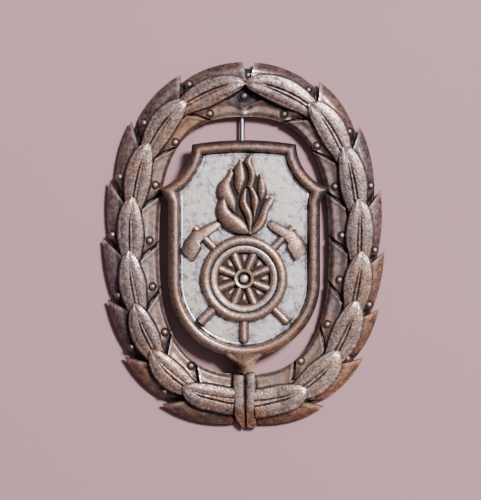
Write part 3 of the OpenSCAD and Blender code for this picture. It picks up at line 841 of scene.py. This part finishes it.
# %% A body between two edges
def edge_points(points, count, soft):
    """Points at even steps along an edge: along its smooth curve where it is soft, and along its
    straight sides, by their summed lengths, where it isn't."""
    points = np.array(points, float)
    if soft:
        return along(points, count)
    run = np.r_[0, np.cumsum(np.hypot(*np.diff(points, axis=0).T))]
    where = np.linspace(0, run[-1], count)
    return np.stack([np.interp(where, run, points[:, k]) for k in range(2)], -1)


def between(left, right, highs, section, soft=True, count=40):
    """A body lofted between two edges. highs are its crest's heights over the field from its first
    end to its last, and section holds rows of (share of the way across, share of the height, rub)."""
    left, right = (edge_points(edge, count, soft)[:, None] for edge in (left, right))
    share, level_share, rub_and_painted_light = np.array(section).T
    flat = left + (right - left) * share[None, :, None]
    high = np.interp(np.linspace(0, 1, count), np.linspace(0, 1, len(highs)), highs)[:, None]
    rings = stack(flat[..., 0], flat[..., 1], FIELD_Z + high * level_share[None, :])
    return shell(rings, rub_and_painted_light[None, :])


print("an edge of 3 points at 5 steps", edge_points([(0, 0), (1, 1), (3, 1)], 5, True).tolist())

# %% The crossed hammers
# The left hammer's eye, and the edges of its head round it, from the poll to the pick's tip
EYE = np.array([2.3 + 0.18 - FIELD_R, WHEEL[1] + 7.14])
HEAD_UPPER = [(-2.3, -3.05), (-1.75, -1.6), (-0.55, -0.1), (0.6, 0.3), (1.75, 0.9), (2.7, 1.3), (3.3, 1.05)]
HEAD_LOWER = [(-0.5, -4.6), (0.72, -2.65), (0.5, -2.15), (1.2, -1.3), (2, -0.7), (3.05, 0.05), (3.4, 0.6)]
HEAD_HIGHS = [0.85, 1.02, 1.05, 1.0, 0.95, 0.8, 0.6]
# Across a head from its upper edge to its lower one: share of the way across, share of the height, and rub.
# The rub holds painted shade on the upper side and a painted highlight along the lower bevel.
HEAD_SECTION = [
    (-0.03, 0, -1), (0, 0.12, -1), (0.02, 0.6, -0.6), (0.1, 0.78, -0.3), (0.26, 0.9, -0.1), (0.5, 0.98, 0.1),
    (0.74, 1, 0.3), (0.87, 0.96, 0.9), (0.94, 0.78, 0.2), (0.99, 0.5, -0.8), (1.0, 0.12, -1), (1.03, 0, -1)
]

hammers = []
for side in (LEFT, RIGHT):
    upper, lower = ((np.array(edge) + EYE) * [-side, 1] for edge in (HEAD_UPPER, HEAD_LOWER))
    hammers.append(between(upper, lower, HEAD_HIGHS, HEAD_SECTION, soft=False, count=48))
    turn = math.degrees(math.atan2(EYE[1] - WHEEL[1], -side * EYE[0]))
    reach = math.hypot(*(EYE - WHEEL)) + 0.55
    hammers.append(crowned(spoke_rows(turn, 5.8, reach, (0.58, 0.58), (0.75, 0.75), 0.2), count=16))
wheel_piece = piece("wheel_with_hammers", wheel + hammers, "wheel_and_hammers")

# %% The low body behind the tongues
FLAME_FOOT = level("flame", 0, 1)
# Outline of the low body behind the tongues, as shares of the flame's width and height
FLAME = [
    (0.06, 0), (-0.14, 0.02), (-0.32, 0.09), (-0.4, 0.16), (-0.475, 0.3), (-0.48, 0.37),
    (-0.44, 0.44), (-0.465, 0.54), (-0.44, 0.61), (-0.335, 0.69), (-0.26, 0.78), (-0.24, 0.835),
    (-0.22, 0.765), (-0.165, 0.735), (-0.12, 0.84), (-0.05, 0.925), (-0.01, 0.88), (0.14, 1),
    (0.135, 0.91), (0.2, 0.79), (0.23, 0.7), (0.28, 0.76), (0.38, 0.645), (0.41, 0.51), (0.37, 0.43),
    (0.52, 0.45), (0.475, 0.365), (0.4, 0.22), (0.34, 0.075), (0.12, 0)
]
FLAME_SIZE = np.array([8.35, 11.75])


def rounded(outline, rounds=2):
    """Rounds a closed outline: each side is kept from a fifth to four fifths of its length, and new
    sides cut the corners between, a few times over."""
    outline = np.array(outline, float)
    for _ in range(rounds):
        following = np.roll(outline, -1, 0)
        cuts = [0.8 * outline + 0.2 * following, 0.2 * outline + 0.8 * following]
        outline = np.stack(cuts, 1).reshape(-1, 2)
    return outline


slab = rounded(FLAME) * FLAME_SIZE + [0, FLAME_FOOT]
slab_middle = np.array([0, FLAME_FOOT + 4.2])
share, high, rub_and_painted_light = np.array([(1, 0, -1), (1, 0.12, -1), (0.985, 0.32, -0.8), (0.96, 0.42, -1.6)]).T
flat = slab_middle + share[:, None, None] * (slab - slab_middle)
flame = [shell(stack(flat[..., 0], flat[..., 1], FIELD_Z + high[:, None]), rub_and_painted_light[:, None])]
print("flame", np.round(np.ptp(slab, axis=0), 2), "mm")

# %% The tongues' edges
# A pixel's size in millimetres, and where the picture has the badge's middle, in pixels
PIXEL = 0.147
MIDDLE_PX = np.array([244.0, 245.5])
# Tongues, from the tip to the foot: the left and the right edge in pixels, and the crest's heights
TONGUES = {
    "left": (
        [(230, 169), (226, 177), (219.5, 184), (217.8, 190), (218.8, 197), (224, 203), (229, 209),
         (234.5, 213.5)],
        [(231, 169.3), (233.6, 174), (231.8, 180), (230.3, 185.5), (232, 192), (235.4, 200),
         (235.9, 207), (235.2, 213.5)],
        [0.7, 0.95, 1.05, 1.1, 1.1, 1.05, 0.8]),
    "crescent": (
        [(224.6, 196.5), (219.8, 201), (217.3, 208), (218, 215), (222, 223.5), (229.5, 230.5),
         (239, 234), (248, 235)],
        [(225.4, 196.8), (226.3, 203), (228.6, 209), (233, 214), (238.5, 217.5), (243, 221.5),
         (246.6, 226), (248.6, 231)],
        [0.85, 1.1, 1.2, 1.25, 1.25, 1.22, 1.0]),
    "second": (
        [(240, 160), (236.6, 166), (234.6, 172), (234.8, 179), (234.6, 185), (235.8, 190), (238.3, 194.8)],
        [(241, 160.5), (243.2, 167), (244.8, 174), (245.2, 180), (243.4, 185), (241.4, 190), (239, 194.8)],
        [0.75, 1.0, 1.1, 1.15, 1.15, 1.05, 0.85]),
    "tallest": (
        [(251, 155), (246.5, 158.5), (244.5, 162.5), (247.3, 169), (248.8, 175), (248.2, 182),
         (246.2, 187.5)],
        [(252, 155.2), (251.2, 160), (251.5, 165), (254, 171), (255, 177), (254, 183), (252.2, 188)],
        [0.8, 1.05, 1.12, 1.18, 1.2, 1.15, 1.05]),
    "behind": (
        [(247.5, 187.5), (249.8, 192), (251, 198), (251.3, 204), (252.3, 210), (252.9, 217), (252.6, 223)],
        [(252.5, 187.5), (255.6, 193), (258.3, 199), (258.2, 205), (256.2, 211), (254.6, 217), (253, 223)],
        [0.95, 1.05, 1.12, 1.12, 1.05, 1.0, 0.85]),
    "front": (
        [(245.2, 188.5), (241.8, 194), (240, 201), (240.8, 208), (243.8, 214), (246.4, 220),
         (247.4, 226), (247.5, 234)],
        [(246, 189), (246.4, 195), (246.5, 202), (249.3, 208), (251.6, 213), (252.4, 219),
         (251.8, 226), (251, 234)],
        [0.95, 1.12, 1.22, 1.28, 1.28, 1.25, 1.1]),
    "right": (
        [(259.2, 174), (258.2, 180), (257.6, 186), (257.4, 192), (258.6, 197), (260, 201)],
        [(260, 174), (262.8, 180), (265.2, 187), (265, 193), (263.4, 197.5), (260.8, 201)],
        [0.7, 0.95, 1.05, 1.05, 0.95, 0.8]),
    "horn": (
        [(270, 197.6), (265.8, 200), (262.2, 206), (260.2, 212), (257.8, 218.5), (254.4, 224),
         (251, 229), (249, 234)],
        [(273.5, 200), (272.3, 204.5), (268.8, 210), (266.8, 216), (265, 222.5), (261.2, 228.5),
         (256, 232.5), (250, 235)],
        [0.9, 1.1, 1.15, 1.2, 1.25, 1.25, 1.05])
}
print(len(TONGUES), "tongues")

# %% The tongues
TONGUE_SECTION = [
    (-0.02, 0, -1), (0, 0.4, -1), (0.06, 0.68, -0.6), (0.2, 0.86, -0.25), (0.42, 0.96, -0.1), (0.6, 1, 0.1),
    (0.74, 0.99, 0.5), (0.87, 0.9, 0.3), (0.95, 0.7, -0.3), (1.0, 0.4, -1), (1.02, 0, -1)
]
# How much wider the tongues are than their edges were read, because the dark slits look wide
TONGUE_FULLNESS = 1.16


def in_badge(pixels):
    """Turns places in the picture into millimetres on the badge."""
    return (np.array(pixels) - MIDDLE_PX) * [PIXEL, -PIXEL]


for left, right, highs in TONGUES.values():
    left, right = (along(in_badge(edge), 24) for edge in (left, right))
    spare = (left - right) * (TONGUE_FULLNESS - 1) / 2
    flame.append(between(left + spare, right - spare, highs, TONGUE_SECTION))
flame_piece = piece("flame_tongues", flame, "flame")

# %% [markdown]
# The pin
#
# A steel needle crosses the back between a hinge block and a catch. Only a short bright stretch of
# it shows in the gap over the shield.

# %% Needle and blocks
NEEDLE_X = -0.3
NEEDLE_R = 0.45
BLOCK_W, BLOCK_L, BEVEL = 3.2, 2.6, 0.12
low, high = (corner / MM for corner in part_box("pin_clasp"))
needle_z = (low.z + high.z) / 2
reach_y = np.array([low.y + BLOCK_L - 0.2, -12, 0, 12, high.y - BLOCK_L + 0.2])[:, None]
turn = full_turn(32)[None, :]
needle = stack(NEEDLE_X + NEEDLE_R * np.cos(turn), reach_y, needle_z + NEEDLE_R * np.sin(turn))


def block(middle_y):
    """A flat block with bevelled edges: four rectangles of rising level, drawn in at both ends."""
    half = np.array([[BLOCK_W / 2, BLOCK_L / 2]])
    corners = np.array([[-1, -1], [1, -1], [1, 1], [-1, 1]])
    levels = [(BEVEL, low.z), (0, low.z + BEVEL), (0, high.z - BEVEL), (BEVEL, high.z)]
    rings = [stack(*(np.array([NEEDLE_X, middle_y]) + corners * (half - inward)).T, z)
             for inward, z in levels]
    return shell(np.array(rings), 0.2)


blocks = [block(high.y - BLOCK_L / 2), block(low.y + BLOCK_L / 2)]
pin = piece("needle_and_blocks", [shell(needle, 0.6)] + blocks, "pin_clasp")

# %% [markdown]
# The metals
#
# All the brown metal has one finish. A bath turns the brass almost black, and a soft wheel then
# rubs it back to a warm, dull shine wherever it reaches. So the colour comes from one value, how
# worn a point is: its rub, which in a few places also holds painted highlight and painted shade,
# plus how open it lies (ambient occlusion finds that), plus the noise of fine specks and broader
# blotches. A ramp turns the value into a colour, and a map into roughness, because bare metal is
# smoother than its patina. The hue is multiplied in afterwards, and in places it is a painted
# reflection. A painted picture could hold all this, but it would need an unwrapped mesh and would
# blur from close by. The silvered plate and the steel are the same finish with other ramps, and a
# thin scratch on the plate is a narrow dark ellipse.

# %% Shader nodes
def rgb(red, green, blue):
    """A colour read off a screen, 0 to 255, as the linear values that a shader needs."""
    share = np.array([red, green, blue]) / 255
    linear = np.where(share <= 0.04045, share / 12.92, ((share + 0.055) / 1.055) ** 2.4)
    return (*linear, 1)


def shader(name):
    """A new material with its node tree and its principled shader."""
    made = bpy.data.materials.new(name)
    made.use_nodes = True
    return made, made.node_tree, made.node_tree.nodes["Principled BSDF"]


def add(tree, kind, inputs=(), output=0, **settings):
    """The output of a new shader node with its settings and inputs, of which each is a number, a
    colour or another output."""
    made = tree.nodes.new("ShaderNode" + kind)
    for name, value in settings.items():
        setattr(made, name, value)
    for name, value in dict(inputs).items():
        if isinstance(value, bpy.types.NodeSocket):
            tree.links.new(value, made.inputs[name])
        else:
            made.inputs[name].default_value = value
    return made.outputs[output]


def sum_of(tree, *terms):
    """Adds terms of (output, factor), and the last term, a number, to them."""
    *pairs, total = terms
    for output, factor in pairs:
        total = add(tree, "Math", {0: output, 1: factor, 2: total}, operation="MULTIPLY_ADD")
    return total


def ramp(tree, value, stops):
    """A colour ramp with its stops as (place, colour)."""
    made = add(tree, "ValToRGB", {"Fac": value}, "Color")
    elements = made.node.color_ramp.elements
    elements.remove(elements[1])
    elements[0].position, elements[0].color = stops[0]
    for place, colour in stops[1:]:
        elements.new(place).color = colour
    return made


def tinted(tree, colour, hue):
    """Multiplies a colour by the hue, from blue black over neutral to copper: the patina's hue, and in
    places a painted reflection.
    """
    hues = [(0.0, (0.7, 0.78, 0.96, 1)), (0.5, (0.94, 0.94, 0.94, 1)), (1.0, (1.0, 0.76, 0.54, 1))]
    place = add(tree, "MapRange", {"Value": hue, "From Min": -1.0, "From Max": 1.0})
    mix = add(tree, "Mix", {0: 1.0}, data_type="RGBA", blend_type="MULTIPLY").node
    colours = [socket for socket in mix.inputs if socket.type == "RGBA"]
    tree.links.new(colour, colours[0])
    tree.links.new(ramp(tree, place, hues), colours[1])
    return next(socket for socket in mix.outputs if socket.type == "RGBA")


print("mid grey as a shader needs it", round(float(rgb(128, 128, 128)[0]), 3))

# %% The patina
# How wide the patches are in which the hue drifts, in millimetres
DRIFT_W = 1 / 0.38


def patina(name, stops, roughness, grain, level=0.0, reach=0.4, walls=0.42, metallic=0.7, hue=0.0,
           blotch=0.77, swell=0.0, scratches=()):
    """Metal that is dark in its hollows and rubbed on its crests. grain is (how many specks a
    millimetre holds, their share of the rub, the blotches' share, the specks' depth in
    millimetres), reach how far a wall darkens, blotch how wide a blotch is, and swell how high it
    stands against a speck. Specks fade in the hollows. A scratch is an ellipse of (x, y, turn in
    degrees, half length, half width) that darkens to its middle."""
    made, tree, surface = shader(name)
    place = add(tree, "TexCoord", output="Object")
    rub_and_painted_light, hue_and_reflection, coarse = (add(tree, "Attribute", output="Fac", attribute_name=trait)
                            for trait in ("rub_and_painted_light", "hue", "grit"))
    shade = add(tree, "AmbientOcclusion", {"Distance": reach * MM}, "AO", samples=8)
    per_mm, fine_share, broad_share, depth = grain
    fine, broad, drift = (
        add(tree, "TexNoise", {"Vector": place, "Scale": 1 / (width * MM), "Detail": 2}, "Fac")
        for width in (1 / per_mm, blotch, DRIFT_W))
    specks, blotches = (
        add(tree, "MapRange", {"Value": noise, "From Min": 0.25, "From Max": 0.75, "To Min": -1.0})
        for noise in (fine, broad))
    fade = add(tree, "MapRange", {"Value": rub_and_painted_light, "From Min": -1.0, "From Max": 0.0, "To Min": 0.1,
                                  "To Max": fine_share})
    grit = add(tree, "Math", {0: coarse, 1: fade}, operation="MULTIPLY")
    wear_and_painted_light = sum_of(tree, (rub_and_painted_light, 0.25), (shade, walls), (specks, grit), (blotches, broad_share), level)
    for x, y, turn, half_length, half_width in scratches:
        inside = add(tree, "Mapping", {
            "Vector": place, "Location": (x * MM, y * MM, 0), "Rotation": (0, 0, math.radians(turn)),
            "Scale": (half_length * MM, half_width * MM, 1)}, vector_type="TEXTURE")
        cut = add(tree, "TexGradient", {"Vector": inside}, "Fac", gradient_type="SPHERICAL")
        wear_and_painted_light = sum_of(tree, (cut, -1.3), wear_and_painted_light)
    hue = sum_of(tree, (hue_and_reflection, 1), (drift, 2.4), (blotches, 0.2), (shade, 1), hue - 2.1)
    tree.links.new(tinted(tree, ramp(tree, wear_and_painted_light, stops), hue), surface.inputs["Base Color"])
    surface.inputs["Metallic"].default_value = metallic
    rough = add(tree, "MapRange", {"Value": wear_and_painted_light, "To Min": roughness[0], "To Max": roughness[1]})
    tree.links.new(rough, surface.inputs["Roughness"])
    height = sum_of(tree, (broad, swell), add(tree, "Math", {0: fine, 1: grit}, operation="MULTIPLY"))
    relief = add(tree, "Bump", {"Height": height, "Strength": 0.8, "Distance": depth * MM})
    tree.links.new(relief, surface.inputs["Normal"])
    return made


print("hue drifts over", round(DRIFT_W, 1), "mm")

# %% The finishes
BRONZE = [(0.0, rgb(32, 26, 30)), (0.2, rgb(66, 53, 55)), (0.42, rgb(119, 98, 93)),
          (0.65, rgb(163, 140, 134)), (1.0, rgb(245, 232, 227))]
SILVER = [(0.0, rgb(40, 36, 41)), (0.25, rgb(108, 101, 105)), (0.5, rgb(160, 149, 151)),
          (0.8, rgb(230, 217, 215)), (1.0, rgb(255, 252, 250))]
STEEL = [(0.0, rgb(70, 70, 74)), (0.5, rgb(150, 150, 154)), (1.0, rgb(235, 235, 236))]
SCRATCHES = [(-5.1, 9.35, -58, 0.9, 0.14), (-4.5, 8.6, -44, 0.9, 0.1)]
for made, finish in [
    (wreath, patina("rubbed_bronze_leaves", BRONZE, (0.55, 0.24), (3.4, 0.25, 0.16, 0.17), 0.05)),
    (moulding, patina("rubbed_bronze_moulding", BRONZE, (0.55, 0.24), (4, 0.2, 0.1, 0.14), 0.03,
                      hue=0.4)),
    (plate, patina("silvered_speckle", SILVER, (0.48, 0.24), (3.2, 0.22, 0.55, 0.13), -0.08, reach=2,
                   walls=1.0, blotch=0.95, swell=0.25, scratches=SCRATCHES)),
    (wheel_piece, patina("rubbed_bronze_wheel", BRONZE, (0.58, 0.32), (4, 0.22, 0.1, 0.14), 0.07,
                         hue=0.35)),
    (flame_piece, patina("rubbed_bronze_flame", BRONZE, (0.6, 0.36), (4, 0.22, 0.1, 0.14), 0.06,
                         hue=0.3)),
    (pin, patina("needle_steel_bright", STEEL, (0.36, 0.3), (4, 0.05, 0.05, 0.005), 0.2, reach=0.3,
                 metallic=1.0))
]:
    made.data.materials.append(finish)
    print(made.name, "in", finish.name)

# %% [markdown]
# The floor, the light and the camera
#
# The badge lies on its back and is seen from straight above. Metal shows what it reflects, so the
# light matters as much as the finish: one soft box, small enough to leave crisp shadows, stands high
# at the upper right, and the world is a ramp from bright on its side to dim on the other. A studio
# with real cards would give the same, with more to place. The lens is set so that a pixel is as
# large as it was measured.

# %% Floor, light and camera
# Half the floor's side, in metres
FLOOR = 0.5
corners = [(-FLOOR, -FLOOR, 0), (FLOOR, -FLOOR, 0), (FLOOR, FLOOR, 0), (-FLOOR, FLOOR, 0)]
floor_mesh = bpy.data.meshes.new("floor")
floor_mesh.from_pydata(corners, [], [(0, 1, 2, 3)])
floor = bpy.data.objects.new("floor", floor_mesh)
bpy.context.scene.collection.objects.link(floor)
made, tree, surface = shader("pale_floor")
surface.inputs["Base Color"].default_value = rgb(160, 124, 130)
surface.inputs["Roughness"].default_value = 0.9
floor_mesh.materials.append(made)


def lamp(name, place, size, power, colour):
    """A square soft box at a place in metres, turned to the badge."""
    data = bpy.data.lights.new(name, "AREA")
    data.size, data.energy, data.color = size, power, colour
    made = bpy.data.objects.new(name, data)
    made.location = place
    made.rotation_euler = (-made.location).to_track_quat("-Z", "Y").to_euler()
    bpy.context.scene.collection.objects.link(made)


lamp("key", (0.29, 0.27, 0.66), 0.14, 13.4, (1, 0.98, 0.97))
world = bpy.data.worlds.new("studio")
world.use_nodes = True
tree = world.node_tree
SKY_WAY = (0.4, 0.36, 0.84)
way = add(tree, "TexCoord", output="Generated")
height = add(tree, "VectorMath", {0: way, 1: SKY_WAY}, "Value", operation="DOT_PRODUCT")
sky = ramp(tree, height, [(0.0, rgb(84, 74, 77)), (0.45, rgb(108, 100, 103)),
                          (0.75, rgb(150, 146, 148)), (1.0, rgb(235, 233, 235))])
tree.links.new(sky, tree.nodes["Background"].inputs["Color"])
tree.nodes["Background"].inputs["Strength"].default_value = 0.9
bpy.context.scene.world = world

PHOTO_W, PHOTO_H = 481, 500
CAMERA_UP = 0.36
camera_data = bpy.data.cameras.new("camera")
camera_data.lens = camera_data.sensor_width * CAMERA_UP / (PHOTO_H * PIXEL * MM)
camera_data.clip_start = 0.01
camera = bpy.data.objects.new("camera", camera_data)
right, down = PHOTO_W / 2 - MIDDLE_PX[0], PHOTO_H / 2 - MIDDLE_PX[1]
camera.location = (right * PIXEL * MM, -down * PIXEL * MM, CAMERA_UP)
bpy.context.scene.collection.objects.link(camera)
bpy.context.scene.camera = camera
print("key lamp, world and camera, lens", round(camera_data.lens, 1), "mm")
